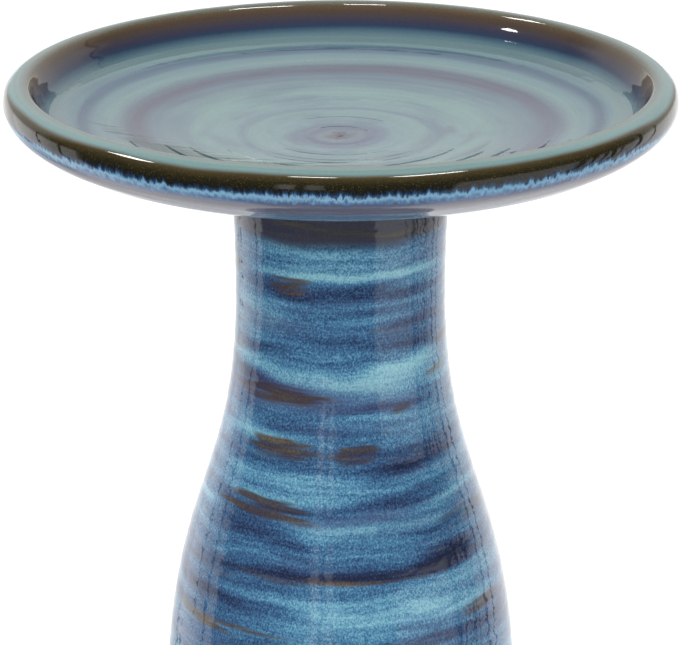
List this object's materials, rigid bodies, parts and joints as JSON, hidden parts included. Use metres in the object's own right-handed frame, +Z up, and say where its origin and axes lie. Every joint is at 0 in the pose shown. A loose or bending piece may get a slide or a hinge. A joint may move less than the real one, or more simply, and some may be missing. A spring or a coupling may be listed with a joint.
{
  "type": "bird bath",
  "caption": "Two-piece glazed ceramic bird bath: a wide shallow dish with a thick rounded lip, dropped onto a hollow bell-shaped pedestal with a slim neck.",
  "frame": {"origin": "on the ground, under the centre of the pedestal", "axes": "+Z up along the common axis of the basin and the pedestal; +X to the right and +Y away from the viewer"},
  "size_m": [0.425, 0.425, 0.52],
  "materials": {
    "basin_glaze": "high-gloss reactive glaze, pale teal with slate and mauve rings and an olive-brown band round the lip",
    "pedestal_glaze": "high-gloss reactive glaze, speckled blue and turquoise brush bands with dark brown patches",
    "rubber": "matt black rubber"
  },
  "bodies": {
    "pedestal": {"pedestal": "pedestal_glaze", "foot_pad_1": "rubber", "foot_pad_2": "rubber", "foot_pad_3": "rubber", "foot_pad_4": "rubber"},
    "seat_ring": {"seat_ring": "rubber"},
    "basin": {"basin": "basin_glaze"}
  },
  "joints": [
    {"name": "basin_turn", "type": "hinge", "parent": "pedestal", "child": "seat_ring", "pos_m": [0, 0, 0.467], "axis": [0, 0, 1], "continuous": true},
    {"name": "basin_lift", "type": "slide", "parent": "seat_ring", "child": "basin", "axis": [0, 0, 1], "range_m": [0, 0.15]}
  ]
}
